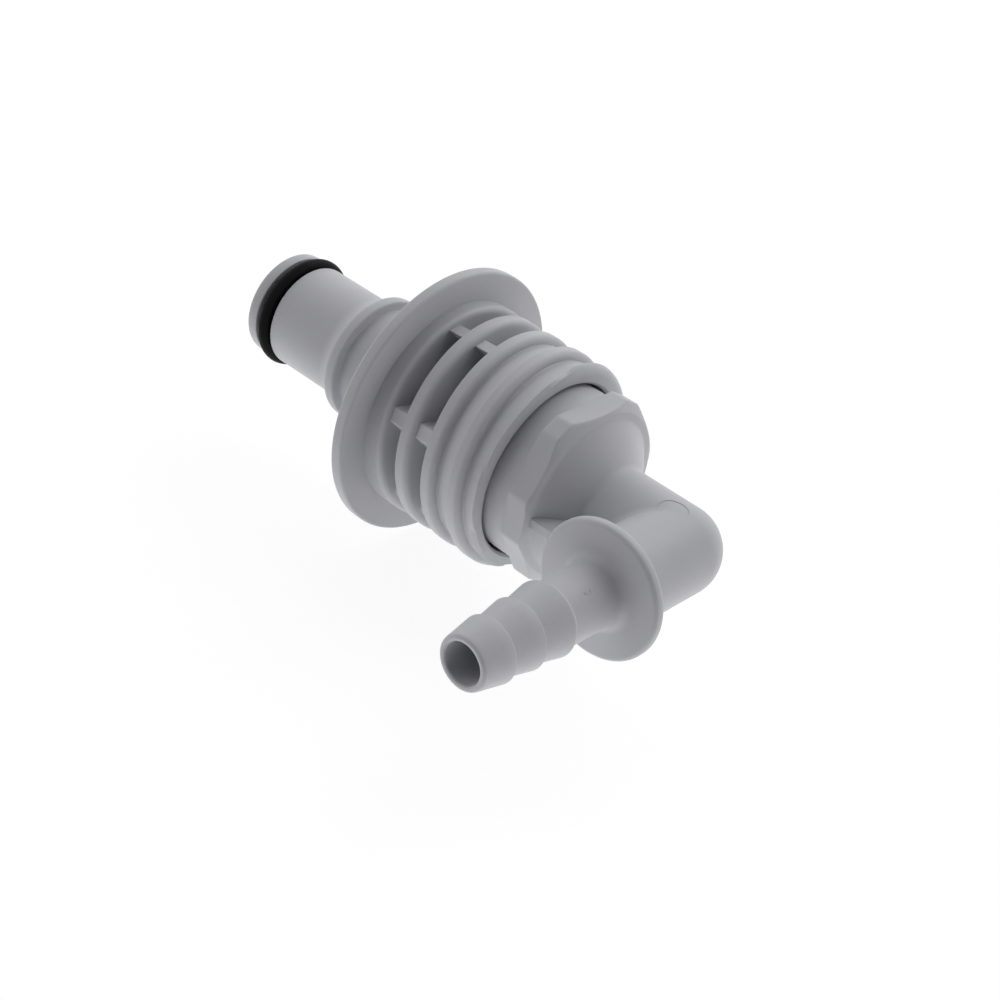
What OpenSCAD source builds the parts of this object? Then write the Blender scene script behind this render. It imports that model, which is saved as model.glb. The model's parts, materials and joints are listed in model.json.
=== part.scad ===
// Panel mount elbow coupling insert: a valved nose, a round flange, a coarse cored
// thread for a panel nut, and an elbow with a hexagon collar and a stepped hose barb.
// The main axis is X. The nose points to -X, the elbow is at +X and its barb points
// to -Y. The origin is on the main axis, on the flange's face that seats on the panel.

/* [Flange] */
// Radius of the panel flange
flange_r = 17.2; // [16.5:0.1:20]
// Thickness of the panel flange
flange_t = 1.65; // [1.4:0.05:3]
// Rounding of the flange's rim
flange_round = 0.25; // [0.1:0.05:0.6]

/* [Nose] */
// Distance from the seat face to the nose's tip
nose_len = 28.45; // [27:0.05:36]
// Radius of the nose's plain barrel
nose_r = 6.66; // [6.4:0.02:6.8]
// Radius of the lip in front of the nose seal
lip_r = 6.8; // [6.6:0.05:7]
// Length of the lip in front of the nose seal
lip_len = 1.65; // [1.4:0.05:2.5]
// Width of the nose seal's groove
nose_groove_w = 2.5; // [2.2:0.05:3]
// Thickness of the nose seal's cord
nose_seal_d = 1.78; // [1.6:0.02:2]
// Radius over the nose seal
nose_seal_r = 7.27; // [7.1:0.01:7.4]
// Radius of the bead's crest
bead_r = 8.15; // [7.8:0.05:9]
// Distance from the seat face to the bead's crest
bead_x = 12.75; // [9:0.05:15]
// Radius of the neck between bead and flange
neck_r = 7; // [6.8:0.05:7.3]

/* [Threaded barrel] */
// Length of the threaded barrel
barrel_len = 17.25; // [16:0.05:20]
// Radius over the thread's crest
thread_r = 13.6; // [13.2:0.05:14.2]
// Depth of the thread
thread_depth = 1.1; // [0.8:0.05:1.3]
// Distance along the axis from one turn to the next
thread_pitch = 4.142; // [4:0.002:4.4]
// Width of the thread's crest
crest_w = 0.9; // [0.6:0.05:1.2]
// Radius at the floor of the cored pockets
pocket_floor_r = 10; // [9.9:0.05:11]
// Thickness of the webs across the pockets
web_t = 1.5; // [1:0.1:2]

/* [Bores] */
// Radius of the mouth at the nose's tip
mouth_r = 3.1; // [2.9:0.05:3.3]
// Radius of the bore in the nose
nose_bore_r = 4.4; // [4.3:0.05:4.6]
// Radius of the chamber that takes the elbow's spigot
chamber_r = 8.3; // [8:0.05:8.5]
// Radius of the wide mouth at the elbow's end
cup_r = 11.2; // [11:0.02:11.4]
// Depth of the wide mouth at the elbow's end
cup_depth = 4; // [3:0.1:4.4]

/* [Elbow] */
// Distance from the seat face to the elbow's corner
elbow_x = 35.85; // [35.85:0.05:40]
// Gap between the elbow's round collar and the wide mouth
collar_gap = 0.37; // [0.1:0.01:0.8]
// Size of the hexagon across its flats
hex_flats = 21.7; // [21.6:0.1:22.4]
// Width of the hexagon along the axis
hex_w = 3.2; // [2.5:0.1:4]
// Distance from the barrel's end to the hexagon
hex_gap = 2.6; // [1:0.1:3.2]
// Radius of the elbow's tubes
tube_r = 5.48; // [5.2:0.02:5.8]
// Radius of the bore through the elbow
elbow_bore_r = 3.6; // [3:0.1:4]
// Thickness of the gusset between the hexagon and the barb's tube
gusset_t = 1.3; // [0.8:0.1:2]

/* [Hose barb] */
// Radius of the hose stop flange
stop_r = 8.2; // [7.5:0.1:9]
// Distance from the main axis to the stop flange's outer face
stop_y = 13.3; // [13:0.1:16]
// Thickness of the stop flange
stop_t = 1.5; // [1:0.1:2]
// Distance from the stop flange to the first barb's crest
barb_start = 8.3; // [7:0.1:10]
// Distance from one barb's crest to the next
barb_pitch = 4.25; // [4:0.05:5]
// Radius of the first barb's crest
barb_r = 4.37; // [4.2:0.01:4.6]
// Radius of the barb's bore
barb_bore_r = 2.42; // [2:0.02:2.6]

/* [Valve] */
// Radius of the poppet's head
poppet_r = 3.9; // [3.7:0.02:4]
// Radius of the poppet's stem
stem_r = 1.2; // [1:0.02:1.4]
// Clearance between the stem and the guide's bore
stem_gap = 0.07; // [0.03:0.01:0.1]
// Thickness of the spring's wire
wire_d = 0.6; // [0.5:0.02:0.7]
// Turns of the spring
spring_turns = 9; // [6:1:12]

/* [Hidden] */
plastic = "#b4b7b9";
rubber = "#1b1b1c";
steel = "#c9cbcd";
$fn = 96;

// Length by which a cut runs past the face that it opens
past = 1;
// Chamfer along the thread's edges
edge = 0.15;

// Thread: the nose-side edge of the turn that starts at angle 0 about the axis,
// where 0 is +Y, 90 is +Z and 180 is the barb's side
first_turn_x = 3.1;
flank_w = 1.25;
flank_angles = [25, 50, 75, 90];
thread_root_r = thread_r - thread_depth;
// Angle at which the last turn begins, at the barrel's end
run_in_angle = 83;
thread_step = 7.5;
// Rounding of the barrel's end
end_round = 1.2;
// Total angles between which the groove is cut, counted from the first turn's start;
// it comes in from the crest over groove_fade degrees
groove_from = -405;
groove_fade = 45;
groove_to = 1080 + run_in_angle;

// Flange: a fine edge on the nose's side
flange_edge = 0.1;

// Nose
lip_round = 0.4;
nose_groove_x = -nose_len + lip_len;
nose_groove_r = nose_seal_r - nose_seal_d + 0.03;
bead_crest = 0.7;
bead_blend = 3;
neck_blend = 0.8;

// The first turn levels off into a ring beside the flange
ring_x = 0.28;

// Pockets: each side's mould slide pulls along pull_angle, so its pockets lie evenly
// about that angle; the floor rises from pocket_flat to both ends
pull_angle = 135;
pocket_half = 80;
pocket_flat = 48;
pocket_step = 8;
pocket_draft = 0.2;
pocket_lift = 1.04;

// Webs: one side stands along the pull, the side towards the middle splays
web_offset = 5.8;
web_splay = 45;
web_top = thread_r * cos(asin(web_offset / thread_r));
web_foot = chamber_r - 1.3;

// Bores of the body
chamber_x = -1;
chamber_end_x = barrel_len - cup_depth;
shoulder_r = chamber_r - 1.1;
funnel_len = 4;
seat_x = -nose_len + 1;
seat_len = nose_bore_r - mouth_r;
cup_chamfer = 0.3;

// Spring guide
guide_t = 2;
guide_gap = 0.1;
guide_ring_r = shoulder_r - 0.6;
guide_arm_t = 1.4;
guide_inset = 0.2;
hub_end_x = chamber_x + 3.5;

// Elbow
spigot_gap = 0.05;
spigot_r = chamber_r - spigot_gap;
spigot_bore_r = spigot_r - 2.25;
spigot_x = chamber_x + guide_t;
collar_r = cup_r - collar_gap;
collar_x = chamber_end_x + 0.3;
hex_x = barrel_len + hex_gap;
hex_end_x = hex_x + hex_w;
hex_corner_r = hex_flats / 2 + 0.89;
hex_side_r = hex_flats / 2 - 0.05;
hex_chamfer = 0.9;
shoulder_top_r = hex_flats / 2 - 1.15;
shoulder_len = 3.6;
gusset_y = hex_flats / 2 - 0.9;
bore_taper_len = 2.4;
// Distance from the corner at which the barb's narrow bore begins
barb_bore_y = stop_y + 0.3;
elbow_groove_x = 6;
elbow_groove_w = 2.2;
elbow_groove_r = spigot_r - 1.3;
elbow_seal_d = 1.6;

// Barb
stop_round = 0.55;
neck_cove = 1.2;
barb_neck_r = barb_r - 0.52;
barb_count = 3;
barb_taper = 0.25;
barb_drop = 0.78;
barb_step = 0.25;
first_step = 0.7;
barb_tip = 4.1;
tip_r = barb_bore_r + 0.78;
tip_round = 0.3;
barb_len = stop_y + barb_start + (barb_count - 1) * barb_pitch + barb_tip;

// Valve: the seal's place follows from the slope of its seat
poppet_nose_r = mouth_r - 0.2;
poppet_groove_r = 2.2;
poppet_seal_d = 1.2;
seal_gap = 0.02;
groove_slack = 0.05;
poppet_x = -nose_len + 0.1;
poppet_seal_x = seat_x - mouth_r + poppet_groove_r + poppet_seal_d / 2
    + sqrt(2) * (poppet_seal_d / 2 + seal_gap);
head_x = poppet_seal_x + poppet_seal_d / 2 + groove_slack;
head_end_x = head_x + 1.3;
poppet_end_x = chamber_x + 3;
spring_r = nose_bore_r - 1.3;
hub_r = spring_r + wire_d / 2 + 0.1;

// Distance from the elbow's corner to a barb's crest
function barb_y(i) = stop_y + barb_start + i * barb_pitch;

// Radius of a barb's crest
function barb_top_r(i) = barb_r - i * barb_taper;

// Point at an angle about the main axis
function around(x, r, a) = [x, r * cos(a), r * sin(a)];

// Place along the axis of a turn's nose-side edge at a total angle
function turn_x(a) = first_turn_x + thread_pitch * a / 360;

// The same for the groove that follows the turn, with the first turn levelled off
function lead_x(a) = max(turn_x(a), ring_x);

// Depth of the groove, which comes in from the crest where it starts
function depth(a) = thread_depth * min(1, edge + (a - groove_from) / groove_fade);

// Radius of the pockets' floor at an angle away from the middle of their side, where
// top is the radius of the groove's surface over it
function floor_r(off, top) =
    let (rise = max(0, abs(off) - pocket_flat) / (pocket_half - pocket_flat))
    pocket_floor_r + (top - pocket_floor_r) * pocket_lift * pow(rise, 1.5);

// Turns the profile, drawn with radius across and x upwards, about the main axis
module turned() {
    rotate([0, 90, 0])
        rotate_extrude()
            children();
}

// Part of the profile between two radii and two places along the axis
module band(r0, r1, x0, x1) {
    translate([r0, x0])
        square([r1 - r0, x1 - x0]);
}

// Part of the profile that tapers evenly from one radius to another
module taper(r0, x0, r1, x1) {
    polygon([[0, x0], [r0, x0], [r1, x1], [0, x1]]);
}

// Closed surface through rings of points that all have the same count
module swept(rings) {
    n = len(rings[0]);
    last = len(rings) - 1;
    polyhedron(
        points = [for (ring = rings) each ring],
        faces = concat(
            [[for (i = [0:n - 1]) i]],
            [for (k = [0:last - 1], i = [0:n - 1])
                [k * n + i, (k + 1) * n + i, (k + 1) * n + (i + 1) % n, k * n + (i + 1) % n]],
            [[for (i = [n - 1:-1:0]) last * n + i]]));
}

// Fills the inner corner between a cylinder of radius r and the face at x with an
// arc; side is -1 in front of the face and 1 behind it
module cove(r, x, rad, side) {
    translate([r, x])
        scale([1, side])
            difference() {
                translate([-rad, 0])
                    square([2 * rad, rad]);
                translate([rad, rad])
                    circle(rad);
                translate([rad, 0])
                    square(rad);
            }
}

// Outline of the bead with its long blend into the nose's barrel
module bead_profile() {
    crest_c = [bead_r - bead_crest, -bead_x];
    rise = nose_r + bead_blend - crest_c.x;
    run = sqrt(pow(bead_crest + bead_blend, 2) - rise * rise);
    blend_c = [nose_r + bead_blend, -bead_x - run];
    touch = blend_c + (crest_c - blend_c) * bead_blend / (bead_crest + bead_blend);
    difference() {
        band(0, touch.x, blend_c.y, touch.y);
        translate(blend_c)
            circle(bead_blend);
    }
    translate(crest_c)
        circle(bead_crest);
    band(0, crest_c.x, touch.y, -bead_x + bead_crest);
}

// Outline of the nose, bead, neck and flange, and of the barrel over its crests
module body_profile() {
    band(0, lip_r - lip_round, -nose_len, -nose_len + lip_len);
    band(0, lip_r, -nose_len + lip_round, -nose_len + lip_len);
    translate([lip_r - lip_round, -nose_len + lip_round])
        circle(lip_round);
    band(0, nose_groove_r, -nose_len, -bead_x);
    band(0, nose_r, nose_groove_x + nose_groove_w, -bead_x);
    bead_profile();
    band(0, neck_r, -bead_x, 0);
    cove(neck_r, -flange_t, neck_blend, -1);
    band(0, flange_r, -flange_t + flange_edge, -flange_round);
    band(0, flange_r - flange_round, -flange_t, 0);
    translate([flange_r - flange_round, -flange_round])
        circle(flange_round);
    translate([flange_r - flange_edge, -flange_t + flange_edge])
        circle(flange_edge);
    band(0, thread_r, 0, barrel_len - end_round);
    band(0, thread_r - end_round, 0, barrel_len);
    translate([thread_r - end_round, barrel_len - end_round])
        circle(end_round);
}

// Outline of the way through: mouth, valve seat, nose bore, chamber and wide mouth
module body_bore_profile() {
    band(0, mouth_r, -nose_len - past, seat_x);
    taper(mouth_r, seat_x, nose_bore_r, seat_x + seat_len);
    band(0, nose_bore_r, seat_x + seat_len, chamber_x - funnel_len);
    taper(nose_bore_r, chamber_x - funnel_len, shoulder_r, chamber_x);
    band(0, chamber_r, chamber_x, chamber_end_x);
    band(0, cup_r, chamber_end_x, barrel_len + past);
    taper(cup_r, barrel_len - cup_chamfer, cup_r + cup_chamfer, barrel_len);
}

// Section of the thread's groove at a total angle: a rounded flank behind the turn,
// the root, and a long ramp up to the next turn. Behind the last whole turn the ramp
// runs out over the barrel's end instead.
function groove_ring(a) =
    let (x0 = lead_x(a) + crest_w)
    let (next_x = turn_x(a) + thread_pitch)
    let (last = a > run_in_angle + 720 && a < 1080 + run_in_angle)
    let (x1 = last ? max(next_x, barrel_len + past) : next_x)
    concat(
        [around(x0 - 2 * edge, thread_r + edge, a)],
        [for (f = flank_angles)
            around(x0 + flank_w * sin(f), thread_r - edge - (depth(a) - edge) * (1 - cos(f)), a)],
        [around(x1, thread_r - edge, a),
         around(x1 + 2 * edge, thread_r + edge, a)]);

// Section of a cored pocket at a total angle, with its steep side at the next turn
function pocket_ring(a, off) =
    let (x0 = lead_x(a) + crest_w + flank_w)
    let (x1 = turn_x(a + 360))
    [around(x0 + pocket_draft, floor_r(off, thread_root_r), a),
     around(x1, floor_r(off, thread_r - edge), a),
     around(x1, thread_r + past, a),
     around(x0, thread_r + past, a)];

module thread_groove() {
    swept([for (a = [groove_from:thread_step:groove_to]) groove_ring(a)]);
}

// Two turns of pockets on the front and two on the back
module pockets() {
    for (turn = [-1, 0], side = [0, 180])
        swept([for (off = [-pocket_half:pocket_step:pocket_half])
            pocket_ring(pull_angle + side + off + 360 * turn, off)]);
}

// The two webs across both pockets of one side
module pocket_webs(side) {
    splay = tan(web_splay);
    outer = web_offset + web_t / 2;
    for (flip = [-1, 1])
        rotate([pull_angle + side - 90, 0, 0])
            translate([-flange_t / 2, 0, 0])
                rotate([90, 0, 90])
                    linear_extrude(turn_x(pull_angle + side + 360) + flange_t)
                        polygon([[flip * outer, web_foot],
                                 [flip * outer, web_top + web_t / splay],
                                 [flip * (outer - web_t - (web_top - web_foot) * splay), web_foot]]);
}

module body() {
    color(plastic)
        difference() {
            union() {
                difference() {
                    turned()
                        body_profile();
                    pockets();
                }
                intersection() {
                    for (side = [0, 180])
                        pocket_webs(side);
                    turned()
                        band(0, thread_r - edge, -flange_t, barrel_len);
                }
            }
            thread_groove();
            turned()
                body_bore_profile();
        }
}

// A seal's ring of round cord, flattened where it lies on a floor or under a bore
module seal(mid_x, floor_r, outer_r, d) {
    color(rubber)
        turned()
            intersection() {
                band(floor_r, outer_r, mid_x - d, mid_x + d);
                translate([(floor_r + outer_r) / 2, mid_x])
                    circle(d / 2);
            }
}

module nose_seal() {
    seal(nose_groove_x + nose_groove_w / 2, nose_groove_r, nose_seal_r, nose_seal_d);
}

module elbow_seal() {
    seal(elbow_groove_x + elbow_groove_w / 2, elbow_groove_r, chamber_r, elbow_seal_d);
}

module poppet_seal() {
    seal(poppet_seal_x, poppet_groove_r, poppet_groove_r + poppet_seal_d, poppet_seal_d);
}

// Hexagon across its flats, with a flat at the top; each corner is cut off
module hexagon() {
    intersection() {
        rotate(30)
            circle(r = hex_flats / 2 / cos(30), $fn = 6);
        circle(r = hex_corner_r / cos(30), $fn = 6);
        square([3 * hex_flats, 2 * hex_side_r], center = true);
    }
}

// The hexagon along the main axis, chamfered on the shoulder's side
module hex_collar() {
    intersection() {
        translate([hex_x, 0, 0])
            rotate([0, 90, 0])
                linear_extrude(hex_w)
                    hexagon();
        turned()
            union() {
                band(0, hex_flats, hex_x - past, hex_end_x - hex_chamfer);
                taper(hex_flats / 2 + 1.2, hex_end_x - hex_chamfer, hex_flats / 2 - 0.2, hex_end_x);
            }
    }
}

// Outline of the spigot, round collar, shoulder and tube along the main axis
module elbow_profile() {
    difference() {
        band(0, spigot_r, spigot_x, collar_x);
        band(elbow_groove_r, chamber_r, elbow_groove_x, elbow_groove_x + elbow_groove_w);
    }
    band(0, collar_r, collar_x, hex_x + hex_w / 2);
    taper(shoulder_top_r, hex_end_x - hex_w / 2, shoulder_top_r, hex_end_x);
    taper(shoulder_top_r, hex_end_x, tube_r, hex_end_x + shoulder_len);
    band(0, tube_r, hex_end_x, elbow_x);
}

// Outline of the tube, stop flange and stepped barb, from the elbow's corner out
module barb_profile() {
    band(0, tube_r, 0, stop_y - stop_t);
    band(0, stop_r - stop_round, stop_y - stop_t, stop_y);
    band(0, stop_r, stop_y - stop_t + stop_round, stop_y - stop_round);
    for (y = [stop_y - stop_t + stop_round, stop_y - stop_round])
        translate([stop_r - stop_round, y])
            circle(stop_round);
    cove(barb_neck_r, stop_y, neck_cove, 1);
    polygon(concat(
        [[0, 0], [barb_neck_r, 0], [barb_neck_r, barb_y(0) - first_step]],
        [for (i = [0:barb_count - 1]) each [
            [barb_top_r(i), barb_y(i)],
            i < barb_count - 1
                ? [barb_top_r(i) - barb_drop, barb_y(i + 1) - barb_step]
                : [tip_r, barb_len - tip_round]]],
        [[tip_r - tip_round, barb_len], [0, barb_len]]));
}

// Turns the profile about the barb's axis
module turned_barb() {
    translate([elbow_x, 0, 0])
        rotate([90, 0, 0])
            rotate_extrude()
                children();
}

// Outline of the way through the spigot and the tube
module elbow_bore_profile() {
    band(0, spigot_bore_r, spigot_x - past, collar_x);
    taper(spigot_bore_r, collar_x, elbow_bore_r, collar_x + bore_taper_len);
    band(0, elbow_bore_r, collar_x, elbow_x);
}

module elbow() {
    color(plastic)
        difference() {
            union() {
                turned()
                    elbow_profile();
                hex_collar();
                turned_barb()
                    barb_profile();
                translate([elbow_x, 0, 0])
                    sphere(tube_r);
                translate([hex_end_x - hex_w / 2, -gusset_y, -gusset_t / 2])
                    cube([elbow_x - hex_end_x, gusset_y, gusset_t]);
            }
            turned()
                elbow_bore_profile();
            translate([elbow_x, 0, 0])
                sphere(elbow_bore_r);
            turned_barb()
                union() {
                    band(0, elbow_bore_r, 0, barb_bore_y - bore_taper_len);
                    taper(elbow_bore_r, barb_bore_y - bore_taper_len, barb_bore_r, barb_bore_y);
                    band(0, barb_bore_r, 0, barb_len + past);
                }
        }
}

module poppet() {
    color(plastic)
        turned()
            union() {
                band(0, poppet_nose_r, poppet_x, poppet_seal_x - poppet_seal_d / 2 - groove_slack);
                band(0, poppet_groove_r, poppet_x, head_x);
                band(0, poppet_r, head_x, head_end_x);
                band(0, stem_r, poppet_x, poppet_end_x);
            }
}

// Place along the axis of the spring's wire after a number of turns
function spring_place(turn) =
    let (first = head_end_x + wire_d / 2)
    let (last = chamber_x - wire_d / 2)
    let (closed = wire_d * 1.1)
    turn < 1 ? first + closed * turn
    : turn > spring_turns - 1 ? last - closed * (spring_turns - turn)
    : first + closed + (last - first - 2 * closed) * (turn - 1) / (spring_turns - 2);

module valve_spring() {
    wire_sides = 6;
    turn_steps = 14;
    color(steel)
        swept([for (k = [0:spring_turns * turn_steps])
            [for (i = [0:wire_sides - 1])
                around(spring_place(k / turn_steps) + wire_d / 2 * cos(360 * i / wire_sides),
                       spring_r + wire_d / 2 * sin(360 * i / wire_sides),
                       360 * k / turn_steps)]]);
}

module spring_guide() {
    color(plastic)
        difference() {
            union() {
                turned()
                    union() {
                        band(0, hub_r, chamber_x, hub_end_x);
                        band(guide_ring_r, chamber_r - guide_gap, chamber_x, spigot_x);
                    }
                for (a = [90:120:330])
                    rotate([a, 0, 0])
                        translate([chamber_x + guide_inset, 0, -guide_arm_t / 2])
                            cube([guide_t - 2 * guide_inset, (guide_ring_r + chamber_r) / 2, guide_arm_t]);
            }
            turned()
                band(0, stem_r + stem_gap, chamber_x - past, hub_end_x + past);
        }
}

body();
nose_seal();
elbow();
elbow_seal();
poppet();
poppet_seal();
valve_spring();
spring_guide();
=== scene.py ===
# %% [markdown]
# # A grey plastic coupling for hose, made to be looked at
# The real thing is a small insert for a panel, about 90 mm long: a moulded body with a nose, a
# flange and a coarse thread, and an elbow that ends in a stepped barb for hose. Its construction
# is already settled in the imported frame, so this script loads that frame and gives it its looks:
# finer meshes where the frame's triangles would show, real finishes, light and a camera.

import json
import math

import bmesh
import bpy
from mathutils import Matrix, Vector

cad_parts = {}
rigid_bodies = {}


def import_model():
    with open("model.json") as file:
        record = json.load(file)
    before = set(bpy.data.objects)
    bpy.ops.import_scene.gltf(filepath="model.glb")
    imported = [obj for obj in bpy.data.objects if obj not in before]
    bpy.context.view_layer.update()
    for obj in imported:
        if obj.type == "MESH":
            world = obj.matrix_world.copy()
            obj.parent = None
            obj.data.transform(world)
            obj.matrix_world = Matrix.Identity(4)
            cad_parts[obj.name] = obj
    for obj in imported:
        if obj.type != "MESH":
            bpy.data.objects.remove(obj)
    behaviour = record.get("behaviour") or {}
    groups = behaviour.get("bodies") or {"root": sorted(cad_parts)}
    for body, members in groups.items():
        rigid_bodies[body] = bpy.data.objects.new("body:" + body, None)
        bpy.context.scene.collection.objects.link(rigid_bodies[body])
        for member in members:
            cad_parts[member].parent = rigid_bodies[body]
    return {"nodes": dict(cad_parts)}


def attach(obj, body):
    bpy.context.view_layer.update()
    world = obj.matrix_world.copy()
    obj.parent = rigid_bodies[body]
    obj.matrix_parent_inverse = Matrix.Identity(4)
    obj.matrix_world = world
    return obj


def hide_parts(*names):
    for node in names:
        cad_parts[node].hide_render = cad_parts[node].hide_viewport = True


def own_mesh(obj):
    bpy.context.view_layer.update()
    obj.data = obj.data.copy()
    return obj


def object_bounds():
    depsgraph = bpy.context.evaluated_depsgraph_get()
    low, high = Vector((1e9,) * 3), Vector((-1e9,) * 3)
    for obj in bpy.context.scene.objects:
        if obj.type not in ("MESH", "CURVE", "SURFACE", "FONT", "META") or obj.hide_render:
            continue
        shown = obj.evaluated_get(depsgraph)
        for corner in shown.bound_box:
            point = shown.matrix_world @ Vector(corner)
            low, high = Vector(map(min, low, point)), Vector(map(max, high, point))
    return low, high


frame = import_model()
cad_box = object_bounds()
nodes = frame["nodes"]
MM = 0.001
print("nodes:", ", ".join(sorted(nodes)))

# %% [markdown]
# ## Camera
# The photograph was taken with a long lens, from the right and above, and the camera was tilted a
# little. The three axes and the place below were worked out from the circles and straight edges
# that the photograph shows, so that the model's outline falls on the outline in the photograph.

# %% Place the camera
camera_data = bpy.data.cameras.new("photo_camera")
camera_data.lens = 72.3
camera_data.sensor_width = 36.0
camera_data.clip_start = 0.01
camera_data.clip_end = 5.0
camera = bpy.data.objects.new("photo_camera", camera_data)
bpy.context.scene.collection.objects.link(camera)
camera_axes = Matrix((
    (0.7194, -0.4776, 0.5044),
    (0.6767, 0.3175, -0.6643),
    (0.1571, 0.8192, 0.5515),
))
camera.matrix_world = Matrix.Translation((0.13189, -0.15951, 0.12457)) @ camera_axes.to_4x4()
bpy.context.scene.camera = camera
print("camera distance in mm:", round(camera.location.length / MM))

# %% [markdown]
# ## Helpers for materials
# A material is a tree of nodes. One function adds a node, sets its values and joins its inputs, so
# each tree below reads as a list of what it does. Colours are written as sRGB hex values, as a
# paint shop would give them, and one function turns them into the linear values that light needs.

# %% Define the helpers
def linear(hex_value):
    """Turns an sRGB hex value into a linear colour with alpha."""
    parts = [int(hex_value[i:i + 2], 16) / 255 for i in (1, 3, 5)]
    return (*[c / 12.92 if c <= 0.04045 else ((c + 0.055) / 1.055) ** 2.4 for c in parts], 1.0)


def add(tree, kind, inputs=None, **settings):
    """Adds a node. inputs gives a value or another node's output for each input's name or number."""
    node = tree.nodes.new(kind)
    for name, value in settings.items():
        setattr(node, name, value)
    for key, value in (inputs or {}).items():
        if isinstance(value, bpy.types.NodeSocket):
            tree.links.new(value, node.inputs[key])
        else:
            node.inputs[key].default_value = value
    return node


def new_material(name):
    """Returns an empty material, its tree and its output node."""
    material = bpy.data.materials.new(name)
    material.use_nodes = True
    material.node_tree.nodes.clear()
    return material, material.node_tree, add(material.node_tree, "ShaderNodeOutputMaterial")


print("mid grey is", [round(v, 3) for v in linear("#808080")])

# %% [markdown]
# ## Grey moulded acetal
# The body and the elbow are injection moulded from acetal, a dense and slightly waxy plastic, in a
# cool light grey. The mould was spark eroded, which leaves a fine matt grain on the skin, and the
# colour varies a little where the melt flowed. A few dark specks of burnt polymer lie in the skin.
# Acetal scatters light just under its surface, so its edges look soft.

# %% Make the grey acetal
def moulded_acetal(name, low, high, roughness):
    material, tree, output = new_material(name)
    place = add(tree, "ShaderNodeTexCoord").outputs["Object"]
    cloud = add(tree, "ShaderNodeTexNoise", {"Vector": place, "Scale": 140.0, "Detail": 3.0})
    tint = add(tree, "ShaderNodeMix", {
        0: cloud.outputs["Fac"], 6: linear(low), 7: linear(high)}, data_type="RGBA")
    speck = add(tree, "ShaderNodeTexVoronoi", {"Vector": place, "Scale": 260.0, "Randomness": 1.0})
    speck_size = add(tree, "ShaderNodeMapRange", {
        "Value": speck.outputs["Distance"], 1: 0.035, 2: 0.06, 3: 1.0, 4: 0.0})
    rare = add(tree, "ShaderNodeSeparateColor", {0: speck.outputs["Color"]})
    chosen = add(tree, "ShaderNodeMath", {0: rare.outputs[0], 1: 0.93}, operation="GREATER_THAN")
    speck_mask = add(tree, "ShaderNodeMath", {
        0: speck_size.outputs[0], 1: chosen.outputs[0]}, operation="MULTIPLY")
    colour = add(tree, "ShaderNodeMix", {
        0: speck_mask.outputs[0], 6: tint.outputs[2], 7: linear("#4c4a46")}, data_type="RGBA")
    grain = add(tree, "ShaderNodeTexNoise", {"Vector": place, "Scale": 4200.0, "Detail": 2.0})
    flow = add(tree, "ShaderNodeTexNoise", {"Vector": place, "Scale": 320.0, "Detail": 2.0})
    gloss = add(tree, "ShaderNodeMapRange", {
        "Value": flow.outputs["Fac"], 1: 0.3, 2: 0.7, 3: roughness - 0.04, 4: roughness + 0.05})
    fine = add(tree, "ShaderNodeBump", {
        "Height": grain.outputs["Fac"], "Strength": 0.12, "Distance": 0.00006})
    wave = add(tree, "ShaderNodeBump", {
        "Height": flow.outputs["Fac"], "Strength": 0.10, "Distance": 0.00025,
        "Normal": fine.outputs[0]})
    skin = add(tree, "ShaderNodeBsdfPrincipled", {
        "Base Color": colour.outputs[2], "Roughness": gloss.outputs[0], "IOR": 1.48,
        "Normal": wave.outputs[0]})
    tree.links.new(skin.outputs[0], output.inputs[0])
    return material


grey_acetal = moulded_acetal("acetal_grey_spark_eroded", "#b5b8bb", "#bfbdc3", 0.46)
natural_acetal = moulded_acetal("acetal_natural_moulded", "#e4e3dd", "#ecebe6", 0.42)
print("made", grey_acetal.name, "and", natural_acetal.name)

# %% [markdown]
# ## Black nitrile rubber
# The O-ring is moulded nitrile rubber. It is nearly black, its skin is smooth with a dull sheen,
# and a film of grease and dust gives it uneven gloss.

# %% Make the rubber
rubber, tree, output = new_material("nitrile_rubber_moulded")
place = add(tree, "ShaderNodeTexCoord").outputs["Object"]
film = add(tree, "ShaderNodeTexNoise", {"Vector": place, "Scale": 700.0, "Detail": 3.0})
tint = add(tree, "ShaderNodeMix", {
    0: film.outputs["Fac"], 6: linear("#08080a"), 7: linear("#101012")}, data_type="RGBA")
gloss = add(tree, "ShaderNodeMapRange", {
    "Value": film.outputs["Fac"], 1: 0.3, 2: 0.7, 3: 0.38, 4: 0.55})
bump = add(tree, "ShaderNodeBump", {
    "Height": film.outputs["Fac"], "Strength": 0.15, "Distance": 0.0001})
skin = add(tree, "ShaderNodeBsdfPrincipled", {
    "Base Color": tint.outputs[2], "Roughness": gloss.outputs[0], "IOR": 1.52,
    "Specular IOR Level": 0.07, "Normal": bump.outputs[0]})
tree.links.new(skin.outputs[0], output.inputs[0])

# %% [markdown]
# ## Drawn stainless wire
# The spring inside is drawn stainless wire. Drawing leaves fine lines along the wire, which blur
# what it mirrors.

# %% Make the wire
wire_steel, tree, output = new_material("stainless_wire_drawn")
place = add(tree, "ShaderNodeTexCoord").outputs["Object"]
lines = add(tree, "ShaderNodeTexNoise", {"Vector": place, "Scale": 2500.0, "Detail": 2.0})
gloss = add(tree, "ShaderNodeMapRange", {
    "Value": lines.outputs["Fac"], 1: 0.3, 2: 0.7, 3: 0.22, 4: 0.38})
bump = add(tree, "ShaderNodeBump", {
    "Height": lines.outputs["Fac"], "Strength": 0.1, "Distance": 0.00005})
skin = add(tree, "ShaderNodeBsdfPrincipled", {
    "Base Color": linear("#c4c5c6"), "Metallic": 1.0, "Roughness": gloss.outputs[0],
    "Normal": bump.outputs[0]})
tree.links.new(skin.outputs[0], output.inputs[0])

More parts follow.
